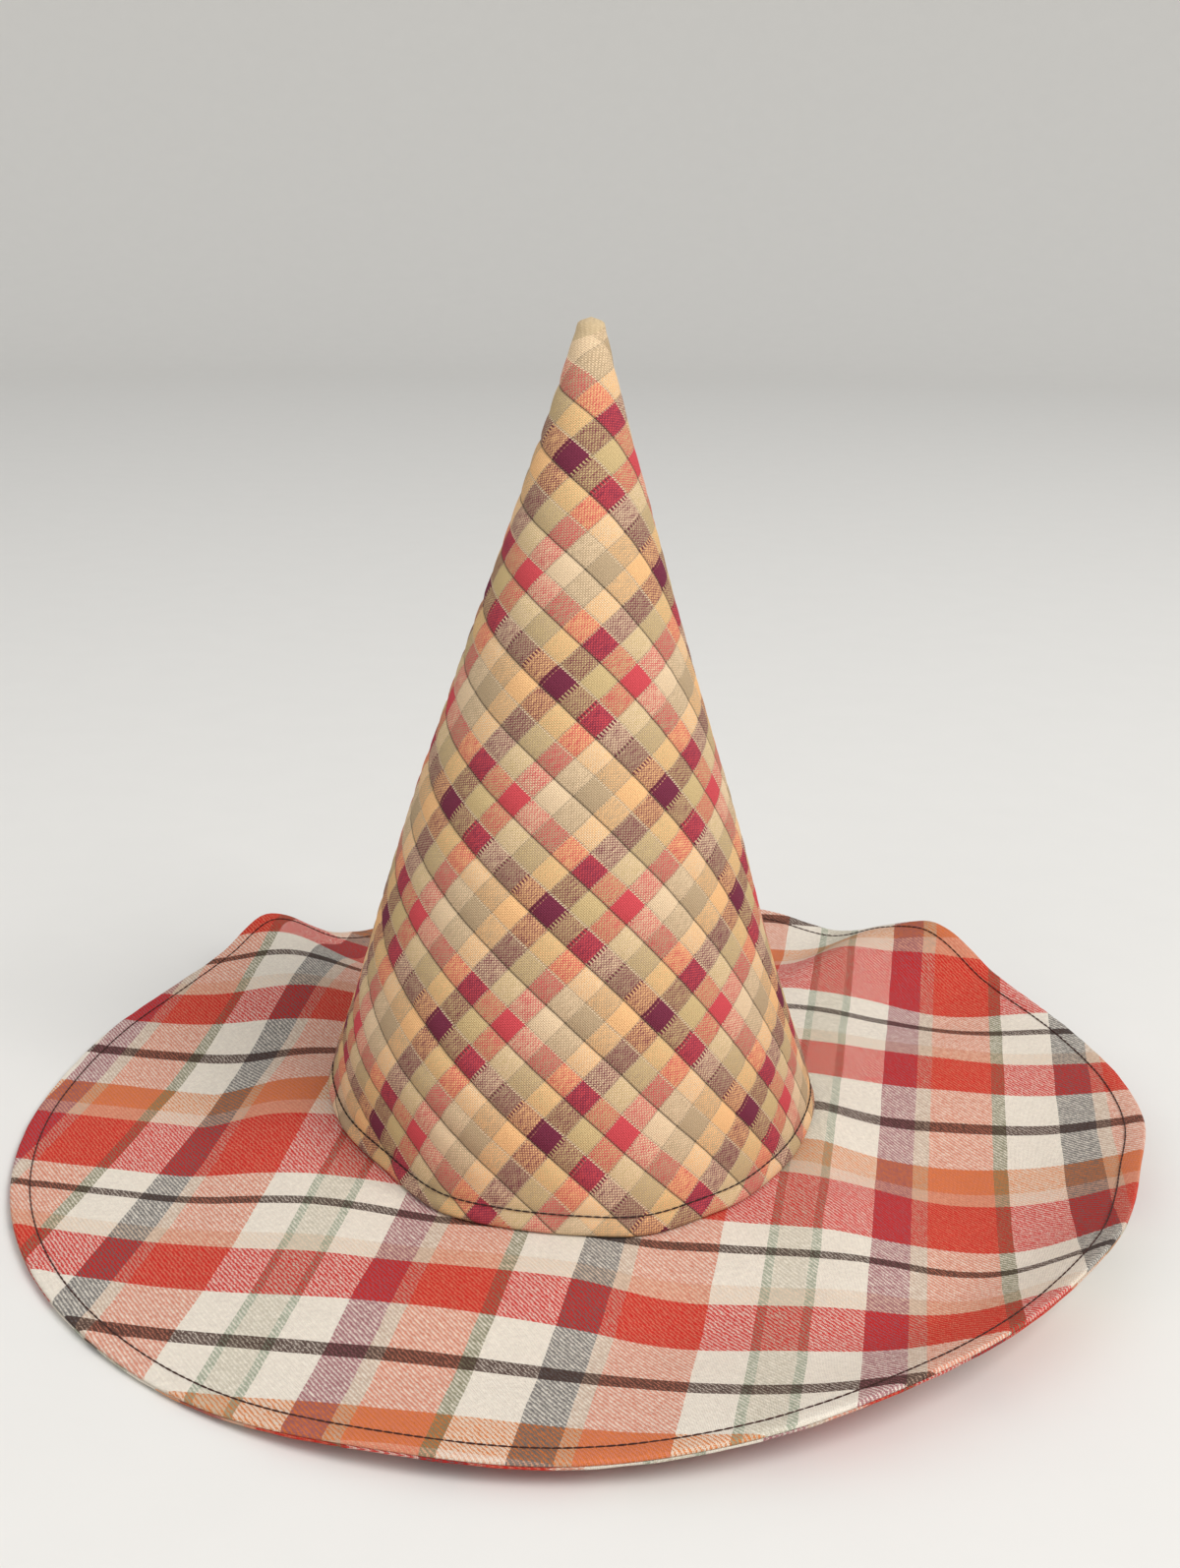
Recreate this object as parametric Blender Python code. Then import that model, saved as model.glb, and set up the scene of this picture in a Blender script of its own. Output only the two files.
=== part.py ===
"""Floppy pointed hat: a quilted cone crown on a wide, waved brim of two cloths.

Metres, +Z up. The hat stands on its brim with its front towards -Y, and the origin is on the
surface that it stands on, under the middle of the brim. A bearing is an angle in plan, in
degrees, from +X towards +Y.
"""

import math
from collections import namedtuple

import bmesh
import bpy
import numpy as np

MM = 0.001
FULL_TURN = 360.0

# Brim: two cloths, one above the other, with a hole under the crown
BRIM_RADIUS = 0.209
BRIM_CLOTH = 0.0013
SEAM_GAP = 0.0003
SEAM_ALLOWANCE = 0.008
BRIM_BANDS = 7

# Crown: a padded cone with a blunt tip, standing on the brim along its hem
CROWN_HEIGHT = 0.303
CROWN_WALL = 0.0031
HEM_HEIGHT = 0.009
HEM_RADIUS = 0.0935
HEM_FOLD = 0.008
HEM_REACH = 0.045
TIP_FILL = 0.020
CROWN_STEPS = 13
CROWN_EASE = 1.7

# Both are divided into the same spokes, so that the hem follows the brim exactly
SPOKES = 80
MERGE_DISTANCE = 0.000001
SHARP_ANGLE = 50.0

# Millimetres that the underside of the brim lies above the surface along each fold or hollow:
# at the crown's hem, then further and further out, and at the rim
Fold = namedtuple("Fold", "bearing hem inner middle outer rim")
FOLD_RADII = (0.093, 0.115, 0.145, 0.178, BRIM_RADIUS)
FOLDS = (
    Fold(2, 8, 5, 6, 8, 14),
    Fold(16, 9, 9, 9, 9, 13),
    Fold(30, 11, 12, 10, 9, 17),
    Fold(41, 11, 13, 15, 20, 29),
    Fold(47, 10, 13, 17, 22, 21),
    Fold(54, 9, 11, 12, 9, 11),
    Fold(64, 8, 7, 6, 6, 13),
    Fold(88, 6, 4, 3, 5, 11),
    Fold(110, 7, 7, 4, 0, 6),
    Fold(124, 8, 11, 8, 2, 5),
    Fold(135, 8, 12, 14, 19, 23),
    Fold(141, 8, 12, 16, 16, 12),
    Fold(149, 9, 12, 13, 8, 6),
    Fold(160, 12, 10, 5, 3, 3),
    Fold(174, 14, 10, 0, 0, 0),
    Fold(190, 12, 9, 0, 0, 0),
    Fold(204, 9, 7, 1, 0, 1),
    Fold(220, 7, 6, 2, 0, 1),
    Fold(238, 4, 4, 4, 2, 1),
    Fold(255, 5, 5, 5, 4, 6),
    Fold(270, 5, 5, 3, 5, 7),
    Fold(284, 4, 2, 0, 6, 12),
    Fold(297, 6, 5, 4, 7, 18),
    Fold(309, 6, 7, 7, 7, 21),
    Fold(322, 7, 7, 4, 7, 24),
    Fold(340, 7, 2, 0, 6, 19),
)

# Millimetres from the middle of the brim to the crown's hem and to the rim. Neither is quite
# round: the rim draws in where it curls up
EdgePoint = namedtuple("EdgePoint", "bearing radius")
HEM_OUTLINE = (
    EdgePoint(0, 90),
    EdgePoint(45, 92),
    EdgePoint(90, 93),
    EdgePoint(135, 95),
    EdgePoint(175, 97),
    EdgePoint(196, 93),
    EdgePoint(218, 88.5),
    EdgePoint(240, 91.5),
    EdgePoint(262, 93),
    EdgePoint(290, 94),
    EdgePoint(322, 89.5),
    EdgePoint(342, 88),
)
RIM_OUTLINE = (
    EdgePoint(2, 210.5),
    EdgePoint(16, 210),
    EdgePoint(34, 209),
    EdgePoint(140, 209),
    EdgePoint(230, 209),
    EdgePoint(314, 209),
    EdgePoint(327, 208),
    EdgePoint(336, 205.8),
    EdgePoint(343, 205.5),
    EdgePoint(353, 209.5),
)

# Millimetres: the crown's round sections, and how far each leans along X
Section = namedtuple("Section", "height radius lean")
SECTIONS = (
    Section(9, 93.5, -4.0),
    Section(32, 87, -4.2),
    Section(72, 75, -4.4),
    Section(122, 60.5, -4.2),
    Section(182, 41, -3.0),
    Section(242, 21.7, -1.2),
    Section(282, 9.2, 0.2),
    Section(296, 5.3, 0.6),
    Section(300.5, 3.6, 0.7),
    Section(303, 0, 0.7),
)

# Colour, roughness and metallic value of each cloth
FINISHES = {
    "crown_cone": ((0.52, 0.30, 0.20), 0.9, 0.0),
    "brim_upper": ((0.66, 0.40, 0.32), 0.9, 0.0),
    "brim_under": ((0.60, 0.32, 0.26), 0.9, 0.0),
}


def clear_scene():
    for obj in list(bpy.data.objects):
        bpy.data.objects.remove(obj, do_unlink=True)


def smooth_through(stops, values, at):
    """Cubic curve through the values at the stops, read at one place."""
    slopes = np.gradient(values, stops)
    place = min(max(at, stops[0]), stops[-1])
    left = min(max(int(np.searchsorted(stops, place)) - 1, 0), len(stops) - 2)
    span = stops[left + 1] - stops[left]
    t = (place - stops[left]) / span
    start = (2 * t**3 - 3 * t**2 + 1) * values[left]
    start_slope = (t**3 - 2 * t**2 + t) * span * slopes[left]
    end = (3 * t**2 - 2 * t**3) * values[left + 1]
    end_slope = (t**3 - t**2) * span * slopes[left + 1]
    return start + start_slope + end + end_slope


def round_through(rows, column, bearing):
    """The same curve closed into a ring, through one column of a table with bearings."""
    stops = np.array([row.bearing for row in rows], float)
    values = np.array([getattr(row, column) for row in rows], float)
    stops = np.concatenate([stops[-2:] - FULL_TURN, stops, stops[:2] + FULL_TURN])
    values = np.concatenate([values[-2:], values, values[:2]])
    return smooth_through(stops, values, bearing % FULL_TURN) * MM


def hem_shift(bearing):
    """How far the hem lies outside its mean circle."""
    return round_through(HEM_OUTLINE, "radius", bearing) - HEM_RADIUS


def rim_shift(bearing):
    """How far the rim lies outside its mean circle."""
    return round_through(RIM_OUTLINE, "radius", bearing) - BRIM_RADIUS


def brim_rise(bearing, radius):
    """Height of the brim's underside above the surface that the hat stands on."""
    heights = [round_through(FOLDS, column, bearing) for column in Fold._fields[1:]]
    return max(smooth_through(FOLD_RADII, np.array(heights), radius), 0.0)


def brim_top(bearing, radius):
    return brim_rise(bearing, radius) + 2 * BRIM_CLOTH + SEAM_GAP


def plan_place(point):
    """Bearing and distance from the middle, in plan."""
    return math.degrees(math.atan2(point.y, point.x)), math.hypot(point.x, point.y)


def set_plan_place(point, bearing, radius):
    point.x = radius * math.cos(math.radians(bearing))
    point.y = radius * math.sin(math.radians(bearing))


def make_cloth(name):
    colour, roughness, metallic = FINISHES[name]
    cloth = bpy.data.materials.new(name)
    cloth.use_nodes = True
    shader = cloth.node_tree.nodes["Principled BSDF"]
    shader.inputs["Base Color"].default_value = (*colour, 1.0)
    shader.inputs["Roughness"].default_value = roughness
    shader.inputs["Metallic"].default_value = metallic
    return cloth


def spin_profile(points):
    """Surface turned from a profile that lies in the XZ plane."""
    shape = bmesh.new()
    corners = [shape.verts.new((radius, 0.0, height)) for radius, height in points]
    edges = [shape.edges.new(pair) for pair in zip(corners, corners[1:])]
    bmesh.ops.spin(
        shape,
        geom=corners + edges,
        cent=(0, 0, 0),
        axis=(0, 0, 1),
        angle=2 * math.pi,
        steps=SPOKES,
        use_merge=True,
    )
    bmesh.ops.remove_doubles(shape, verts=shape.verts, dist=MERGE_DISTANCE)
    return shape


def add_piece(name, shape, collection):
    bmesh.ops.recalc_face_normals(shape, faces=shape.faces)
    mesh = bpy.data.meshes.new(name)
    shape.to_mesh(mesh)
    shape.free()
    mesh.shade_smooth()
    mesh.set_sharp_from_angle(angle=math.radians(SHARP_ANGLE))
    mesh.materials.append(make_cloth(name))
    collection.objects.link(bpy.data.objects.new(name, mesh))


def brim_rings():
    """Radii of the flat brim's rings: two under the crown's wall, then bands out to the rim."""
    inside = [HEM_RADIUS - SEAM_ALLOWANCE, HEM_RADIUS - CROWN_WALL]
    return inside + list(np.linspace(HEM_RADIUS, BRIM_RADIUS, BRIM_BANDS + 1))


def fit_to_edges(bearing, radius):
    """Moves a ring of the round, flat brim to follow the outlines of the hem and the rim."""
    outward = max((radius - HEM_RADIUS) / (BRIM_RADIUS - HEM_RADIUS), 0.0)
    return radius + hem_shift(bearing) * (1 - outward) + rim_shift(bearing) * outward


def make_brim_cloth(name, lift, collection):
    """One cloth of the brim: a flat ring given its thickness, then laid over the waves."""
    shape = spin_profile([(radius, 0.0) for radius in brim_rings()])
    bmesh.ops.triangulate(shape, faces=shape.faces)
    bmesh.ops.solidify(shape, geom=shape.faces[:], thickness=BRIM_CLOTH)
    lowest = min(vert.co.z for vert in shape.verts)
    for vert in shape.verts:
        bearing, radius = plan_place(vert.co)
        radius = fit_to_edges(bearing, radius)
        set_plan_place(vert.co, bearing, radius)
        vert.co.z += brim_rise(bearing, radius) + lift - lowest
    add_piece(name, shape, collection)


def crown_profile():
    """Inner tip down to the hem, across its edge, and up the outside to the tip."""
    heights = np.array([section.height for section in SECTIONS]) * MM
    radii = np.array([section.radius for section in SECTIONS]) * MM
    climb = 1 - (1 - np.linspace(0, 1, CROWN_STEPS + 1)) ** CROWN_EASE
    stations = HEM_HEIGHT + (CROWN_HEIGHT - HEM_HEIGHT) * climb
    stations = np.insert(stations, 1, [HEM_HEIGHT + HEM_FOLD, HEM_HEIGHT + HEM_REACH / 2])
    outer = [(smooth_through(heights, radii, z), z) for z in stations[:-1]]
    inner_top = CROWN_HEIGHT - TIP_FILL
    inner = [(radius - CROWN_WALL, z) for radius, z in outer if z < inner_top - CROWN_WALL]
    return [(0.0, inner_top), *reversed(inner), *outer, (0.0, CROWN_HEIGHT)]


def hem_share(height):
    """1 at the hem, easing to 0 where the crown is round again."""
    t = min(max((height - HEM_HEIGHT) / HEM_REACH, 0.0), 1.0)
    return 1 - t * t * (3 - 2 * t)


def make_crown(collection):
    """The turned cone, set to the hem's outline, leaned, and lowered onto the brim's waves."""
    heights = np.array([section.height for section in SECTIONS]) * MM
    leans = np.array([section.lean for section in SECTIONS]) * MM
    shape = spin_profile(crown_profile())
    for vert in shape.verts:
        share = hem_share(vert.co.z)
        lean = smooth_through(heights, leans, vert.co.z) * (1 - share)
        bearing, radius = plan_place(vert.co)
        radius += hem_shift(bearing) * share
        set_plan_place(vert.co, bearing, radius)
        vert.co.x += lean
        vert.co.z += (brim_top(bearing, radius) + SEAM_GAP - HEM_HEIGHT) * share
    add_piece("crown_cone", shape, collection)


def main():
    clear_scene()
    hat = bpy.data.collections.new("floppy_pointed_hat")
    bpy.context.scene.collection.children.link(hat)
    make_brim_cloth("brim_under", 0.0, hat)
    make_brim_cloth("brim_upper", BRIM_CLOTH + SEAM_GAP, hat)
    make_crown(hat)


main()
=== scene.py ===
"""Looks of a floppy pointed hat: a quilted check crown on a waved brim of two plaid cloths.

Metres, +Z up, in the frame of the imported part. The front is towards -Y, and a bearing is an angle
in plan, in degrees, from +X towards +Y. Each cloth is turned flat or round first, and then moved,
vertex by vertex, onto the waves and folds that the hat has.
"""

import math
from collections import namedtuple

import bmesh
import bpy
import numpy as np
from mathutils import Matrix, Vector


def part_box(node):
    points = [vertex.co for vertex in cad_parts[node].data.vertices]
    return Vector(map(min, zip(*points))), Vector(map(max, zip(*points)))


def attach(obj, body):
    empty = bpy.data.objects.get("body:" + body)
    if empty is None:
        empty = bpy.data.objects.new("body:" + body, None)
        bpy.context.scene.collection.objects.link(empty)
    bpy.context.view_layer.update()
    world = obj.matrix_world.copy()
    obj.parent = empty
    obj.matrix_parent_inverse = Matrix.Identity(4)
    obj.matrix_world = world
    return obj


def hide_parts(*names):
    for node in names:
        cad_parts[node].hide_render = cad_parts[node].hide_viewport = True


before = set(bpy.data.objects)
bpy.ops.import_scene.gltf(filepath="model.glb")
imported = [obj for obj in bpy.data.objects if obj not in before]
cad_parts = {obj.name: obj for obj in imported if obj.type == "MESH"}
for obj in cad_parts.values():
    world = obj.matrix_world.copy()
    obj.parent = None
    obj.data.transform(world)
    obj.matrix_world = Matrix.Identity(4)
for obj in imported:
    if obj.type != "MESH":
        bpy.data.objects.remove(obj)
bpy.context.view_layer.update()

MM = 0.001
FULL_TURN = 360.0
FRONT = -90.0
BACK = 90.0

# Brim, as in the part: two cloths, one above the other, with a hole under the crown
BRIM_RADIUS = 0.209
BRIM_CLOTH = 0.0013
SEAM_GAP = 0.0003
BRIM_THICKNESS = 2 * BRIM_CLOTH + SEAM_GAP
SEAM_ALLOWANCE = 0.008
BRIM_SPOKES = 480
BRIM_RINGS = 60
EDGE_STEPS = 4
EDGE_ROLL = 0.0010

# Crown, as in the part: a padded cone that stands on the brim along its turned hem
CROWN_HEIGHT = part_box("crown_cone")[1].z
CROWN_WALL = 0.0031
HEM_HEIGHT = 0.009
HEM_RADIUS = 0.0935
HEM_REACH = 0.045
HOLE_RADIUS = HEM_RADIUS - SEAM_ALLOWANCE
CONE_SLOPE = math.atan2(HEM_RADIUS, CROWN_HEIGHT - HEM_HEIGHT)
TIP_FILL = 0.020
TIP_FLAT = 0.2995
TIP_SQUASH = 2
CROWN_SPOKES = 360
SECTORS = 12
OUTSIDE_RINGS = 208
INSIDE_RINGS = 24
HEM_STEPS = 6
HEM_TURN = 0.011
PROFILE_SAMPLES = 3000

# Lines of stitches: how far from the edge, the size of one stitch, and the steps, in metres and
# in degrees, that find which way the cloth faces under it
HEM_STITCH_INSET = 0.0072
RIM_STITCH_INSET = 0.0068
HOLE_STITCH_INSET = 0.0035
STITCH_LENGTH = 0.0032
STITCH_PITCH = 0.0030
STITCH_WIDTH = 0.00060
STITCH_DEPTH = 0.00062
STITCH_SIDES = 6
STITCH_BANDS = 4
HEM_STITCH_SUNK = 0.00018
LINE_SAMPLES = 2880
OUTWARD_STEP = 0.001
ONWARD_STEP = 0.1

# Millimetres that the underside of the brim lies above the surface along each fold or hollow:
# at the crown's hem, then further and further out, and at the rim
Fold = namedtuple("Fold", "bearing hem inner middle outer rim")
FOLD_RADII = (0.093, 0.115, 0.145, 0.178, BRIM_RADIUS)
FOLDS = (
    Fold(2, 8, 5, 6, 8, 14),
    Fold(16, 9, 9, 9, 9, 13),
    Fold(30, 11, 12, 10, 9, 17),
    Fold(41, 11, 13, 15, 20, 29),
    Fold(47, 10, 13, 17, 22, 21),
    Fold(54, 9, 11, 12, 9, 11),
    Fold(64, 8, 7, 6, 6, 13),
    Fold(88, 6, 4, 3, 5, 11),
    Fold(110, 7, 7, 4, 0, 6),
    Fold(124, 8, 11, 8, 2, 5),
    Fold(135, 8, 12, 14, 19, 23),
    Fold(141, 8, 12, 16, 16, 12),
    Fold(149, 9, 12, 13, 8, 6),
    Fold(160, 12, 10, 5, 3, 3),
    Fold(174, 14, 10, 0, 0, 0),
    Fold(190, 12, 9, 0, 0, 0),
    Fold(204, 9, 7, 1, 0, 1),
    Fold(220, 7, 6, 2, 0, 1),
    Fold(238, 4, 4, 4, 2, 1),
    Fold(255, 5, 5, 5, 4, 6),
    Fold(270, 5, 5, 3, 5, 7),
    Fold(284, 4, 2, 0, 6, 12),
    Fold(297, 6, 5, 4, 7, 18),
    Fold(309, 6, 7, 7, 7, 21),
    Fold(322, 7, 7, 4, 7, 24),
    Fold(340, 7, 2, 0, 6, 19),
)

# Millimetres from the middle of the brim to the crown's hem and to the rim
EdgePoint = namedtuple("EdgePoint", "bearing radius")
HEM_OUTLINE = (
    EdgePoint(0, 90),
    EdgePoint(45, 92),
    EdgePoint(90, 93),
    EdgePoint(135, 95),
    EdgePoint(175, 97),
    EdgePoint(196, 93),
    EdgePoint(218, 88.5),
    EdgePoint(240, 91.5),
    EdgePoint(262, 93),
    EdgePoint(290, 94),
    EdgePoint(322, 89.5),
    EdgePoint(342, 88),
)
RIM_OUTLINE = (
    EdgePoint(2, 210.5),
    EdgePoint(16, 210),
    EdgePoint(34, 209),
    EdgePoint(140, 209),
    EdgePoint(230, 209),
    EdgePoint(314, 209),
    EdgePoint(327, 208),
    EdgePoint(336, 205.8),
    EdgePoint(343, 205.5),
    EdgePoint(353, 209.5),
)

# Millimetres: the crown's round sections, and how far each leans along X
Section = namedtuple("Section", "height radius lean")
SECTIONS = (
    Section(9, 93.5, -4.0),
    Section(32, 87, -4.2),
    Section(72, 75, -4.4),
    Section(122, 60.5, -4.2),
    Section(182, 41, -3.0),
    Section(242, 21.7, -1.2),
    Section(282, 9.2, 0.2),
    Section(296, 5.3, 0.6),
    Section(300.5, 3.6, 0.7),
    Section(303, 0, 0.7),
)

# A stripe of cloth: its width in millimetres, its thread's colour, and the share of the surface
# that it takes where other threads cross it
Stripe = namedtuple("Stripe", "width colour cover", defaults=(0.5,))

# Brim plaid: the colours of its threads, and the share that the strong ones take
GREY = (0.139, 0.127, 0.120)
BEIGE = (0.527, 0.365, 0.266)
SALMON = (0.626, 0.205, 0.128)
IVORY = (0.770, 0.682, 0.575)
SAGE = (0.300, 0.330, 0.235)
STRAW = (0.560, 0.500, 0.385)
MAUVE = (0.310, 0.105, 0.120)
CORAL = (0.641, 0.195, 0.115)
MOSS = (0.210, 0.195, 0.115)
ORANGE = (0.620, 0.155, 0.030)
SAND = (0.675, 0.340, 0.215)
SCARLET = (0.560, 0.012, 0.010)
WHITE = (0.800, 0.735, 0.622)
UMBER = (0.055, 0.034, 0.027)
BARK = (0.055, 0.030, 0.024)
OAT = (0.717, 0.556, 0.409)
SCARLET_COVER = 0.68
DARK_COVER = 0.9

# Degrees that the plaid's threads turn from the X axis, and places in millimetres. Warp stripes
# follow one another to the right from the first one's left edge, and weft stripes forwards
PLAID_TURN = 10.45
PLAID_THREAD = 0.45
TWILL_STEP = 0.25
WARP_START = -140.1
WARP_STRIPES = (
    Stripe(12.7, GREY),
    Stripe(5.2, BEIGE),
    Stripe(26.3, SALMON),
    Stripe(15.6, IVORY),
    Stripe(3.2, SAGE),
    Stripe(10.9, STRAW),
    Stripe(3.2, SAGE),
    Stripe(16.3, IVORY),
    Stripe(13.2, MAUVE),
    Stripe(5.3, BEIGE),
    Stripe(23.0, CORAL),
    Stripe(5.2, MOSS),
    Stripe(19.7, IVORY),
)
WEFT_START = -10.7
WEFT_STRIPES = (
    Stripe(16.8, ORANGE),
    Stripe(8.5, SAND),
    Stripe(36.3, SCARLET, SCARLET_COVER),
    Stripe(12.9, WHITE),
    Stripe(4.4, UMBER, DARK_COVER),
    Stripe(16.4, WHITE),
    Stripe(8.9, OAT),
    Stripe(24.5, SCARLET, SCARLET_COVER),
    Stripe(21.8, WHITE),
    Stripe(6.2, BARK, DARK_COVER),
    Stripe(23.0, WHITE),
)

# The under cloth is cut from another place of the same plaid, in millimetres
UNDER_SHIFT_ALONG = 61.0
UNDER_SHIFT_OVER = 47.0

# Crown check: cloth places are millimetres on the flat cone cloth, along and across the quilting.
CHECK_HALF_ANGLE_SHARE = 0.305
CHECK_MIDDLE = 140
ROW_SKEW = 0.04
COLUMN_SKEW = 0.012
ROW_WIDTH = 9.375
COLUMN_WIDTH = 8.67
ROW_START = 67.1
COLUMN_START = 81.3
PLUM = (0.180, 0.030, 0.058)
OLIVE = (0.594, 0.437, 0.214)
RED = (0.610, 0.075, 0.088)
APRICOT = (0.850, 0.495, 0.230)
TAUPE = (0.475, 0.345, 0.208)
CREAM = (0.764, 0.566, 0.360)
TIP_CLOTH = (0.660, 0.500, 0.300)
LIGHT_THREAD = (0.930, 0.710, 0.470)
BACKING = (0.720, 0.620, 0.470)
ROW_COLOURS = (RED, OLIVE, PLUM, APRICOT, TAUPE, CREAM)
COLUMN_COLOURS = (PLUM, OLIVE, RED, CREAM, TAUPE, APRICOT)
CHECK_ROWS = tuple(Stripe(ROW_WIDTH, colour) for colour in ROW_COLOURS)
CHECK_COLUMNS = tuple(Stripe(COLUMN_WIDTH, colour) for colour in COLUMN_COLOURS)
THREADS_PER_STRIPE = 15

# Millimetres: teeth and cross stitches at the sides of the columns, dashes along the seams of
# the rows, the shade beside both, the yarn's streaks, and the back cloth's threads. Metres: the
# plain tip, and how far down it the seams start to show
TOOTH_PITCH = 1.30
TOOTH_DEPTH = 1.5
TOOTH_REACH = 0.55
DASH_PITCH = 1.05
DASH_REACH = 0.40
CROSS_REACH = 0.28
SEAM_SHADE = 0.60
SIDE_SHADE = 0.50
STREAK_WIDTH = 0.5
STREAK_LENGTH = 3.5
BACKING_THREAD = 0.5
TIP_PLAIN = 0.0085
TIP_SEAMLESS = 0.016
TIP_SEAM_FADE = 0.008

# Millimetres that each quilted row's top seam sinks into the padding, in the order of the rows,
# and that the rows, their pairs and the columns puff out between their seams
ROW_SEAM_DEPTHS = (0.16, 0.34, 0.16, 0.62, 0.16, 0.34)
ROW_SEAM_REACH = 1.4
ROW_PUFF = 0.20
PAIR_PUFF = 0.10
COLUMN_PUFF = 0.16

# The quilting is uneven by this share, in waves of these lengths, fades out towards the hem's
# stitches and the tip, and is fuller lower down
UNEVEN_SHARE = 0.45
UNEVEN_ALONG = 11
UNEVEN_OVER = 17
UNEVEN_BEND = 23
HEM_FADE = 0.010
TIP_SMOOTH = 0.010
TIP_FADE = 0.020
QUILTING_AT_TIP = 0.75
QUILTING_GAIN = 0.6

# Grooves and ridges: millimetres deep on the crown and metres on the brim, and metres across
HEM_GROOVE_DEPTH = 0.60
HEM_GROOVE_REACH = 0.0016
BACK_SEAM_DEPTH = 0.9
BACK_SEAM_REACH = 0.0018
BACK_SEAM_FADE = 0.02
RIM_GROOVE_DEPTH = 0.00030
RIM_GROOVE_REACH = 0.0012
RIM_RIDGE_HEIGHT = 0.00016
RIM_RIDGE_INSET = 0.0035
RIM_RIDGE_REACH = 0.0022

# Puckers, in the same units: ripples round an edge, each so many to a turn, with its share of
# the height and where it starts
Ripple = namedtuple("Ripple", "count share phase")
HEM_RIPPLES = (Ripple(47, 1.0, 0.0), Ripple(29, 0.7, 1.0), Ripple(71, 0.5, 2.0))
HEM_PUCKER_HEIGHT = 0.20
HEM_PUCKER_REACH = 0.012
RIM_RIPPLES = (Ripple(89, 1.0, 0.0), Ripple(61, 0.7, 2.0), Ripple(37, 0.6, 4.0))
RIM_PUCKER_HEIGHT = 0.00007
RIM_PUCKER_REACH = 0.011

# Sewing thread
DARK_BROWN = (0.045, 0.026, 0.022)
BROWN = (0.070, 0.030, 0.024)
TWIST_LENGTH = 0.0004

# Floor and low wall, camera and lamps
FLOOR_COLOUR = (0.79, 0.77, 0.73)
FLOOR_RADIUS = 3.4
FLOOR_SIDES = 96
WALL_CURVE = 1.4
WALL_HEIGHT = 2.0
WALL_STEPS = 16
CAMERA_PLACE = (0.0023, -0.6241, 0.3342)
CAMERA_DOWN = 17.49
CAMERA_ROLL = 0.74
CAMERA_LENS = 41.58
SENSOR_SIZE = 36.0
Lamp = namedtuple("Lamp", "name place size power")
LAMPS = (
    Lamp("key_lamp", (2.0, -1.55, 2.7), 1.8, 95.0),
    Lamp("fill_lamp", (-1.2, -1.3, 1.1), 1.2, 6.0),
)
LAMP_AIM = (0.0, 0.0, 0.12)
AIR_COLOUR = (0.95, 0.97, 1.0)
AIR_STRENGTH = 0.59


def bell(distance, reach):
    """1 at no distance, falling smoothly away past the reach."""
    return np.exp(-((distance / reach) ** 2))


def ripples(bearing, waves):
    """Uneven ripples at each bearing, summed."""
    turn = np.radians(bearing)
    return sum(wave.share * np.sin(turn * wave.count + wave.phase) for wave in waves)


def smooth_through(stops, values, at):
    """Cubic curves through the values at the stops, read at one place for each column of values."""
    stops = np.asarray(stops, float)
    values = np.asarray(values, float).reshape(len(stops), -1)
    values = np.broadcast_to(values, (len(stops), at.size))
    slopes = np.gradient(values, stops, axis=0)
    place = np.clip(at, stops[0], stops[-1])
    left = np.clip(np.searchsorted(stops, place) - 1, 0, len(stops) - 2)
    column = np.arange(at.size)
    span = stops[left + 1] - stops[left]
    t = (place - stops[left]) / span
    start = (2 * t**3 - 3 * t**2 + 1) * values[left, column]
    start_slope = (t**3 - 2 * t**2 + t) * span * slopes[left, column]
    end = (3 * t**2 - 2 * t**3) * values[left + 1, column]
    end_slope = (t**3 - t**2) * span * slopes[left + 1, column]
    return start + start_slope + end + end_slope


def round_through(rows, column, bearing):
    """The same curve closed into a ring, through one column of rows that have bearings."""
    stops = np.array([row.bearing for row in rows], float)
    values = np.array([getattr(row, column) for row in rows], float)
    stops = np.concatenate([stops[-2:] - FULL_TURN, stops, stops[:2] + FULL_TURN])
    values = np.concatenate([values[-2:], values, values[:2]])
    return smooth_through(stops, values, bearing % FULL_TURN) * MM


def section_curve(column, height):
    """The crown's radius or lean at a height."""
    heights = np.array([section.height for section in SECTIONS]) * MM
    values = np.array([getattr(section, column) for section in SECTIONS]) * MM
    return smooth_through(heights, values, height)


def hem_shift(bearing):
    """How far the hem lies outside its mean circle."""
    return round_through(HEM_OUTLINE, "radius", bearing) - HEM_RADIUS


def rim_shift(bearing):
    """How far the rim lies outside its mean circle."""
    return round_through(RIM_OUTLINE, "radius", bearing) - BRIM_RADIUS


def brim_rise(bearing, radius):
    """Height of the brim's underside above the surface that the hat stands on."""
    heights = [round_through(FOLDS, column, bearing) for column in Fold._fields[1:]]
    return np.maximum(smooth_through(FOLD_RADII, heights, radius), 0.0)


def brim_top(bearing, radius):
    """Height of the brim's upper side above the surface that the hat stands on."""
    return brim_rise(bearing, radius) + BRIM_THICKNESS


def hem_share(height):
    """1 at the hem, easing to 0 where the crown is round again."""
    t = np.clip((height - HEM_HEIGHT) / HEM_REACH, 0.0, 1.0)
    return 1 - t * t * (3 - 2 * t)


def fit_to_edges(bearing, radius):
    """Moves a ring of the round, flat brim to follow the outlines of the hem and the rim."""
    outward = np.maximum((radius - HEM_RADIUS) / (BRIM_RADIUS - HEM_RADIUS), 0.0)
    return radius + hem_shift(bearing) * (1 - outward) + rim_shift(bearing) * outward


def polar(bearing, radius, height):
    """Points from their bearing, distance from the middle, and height."""
    turn = np.radians(bearing)
    return np.stack([radius * np.cos(turn), radius * np.sin(turn), height + 0 * turn], axis=-1)


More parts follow.
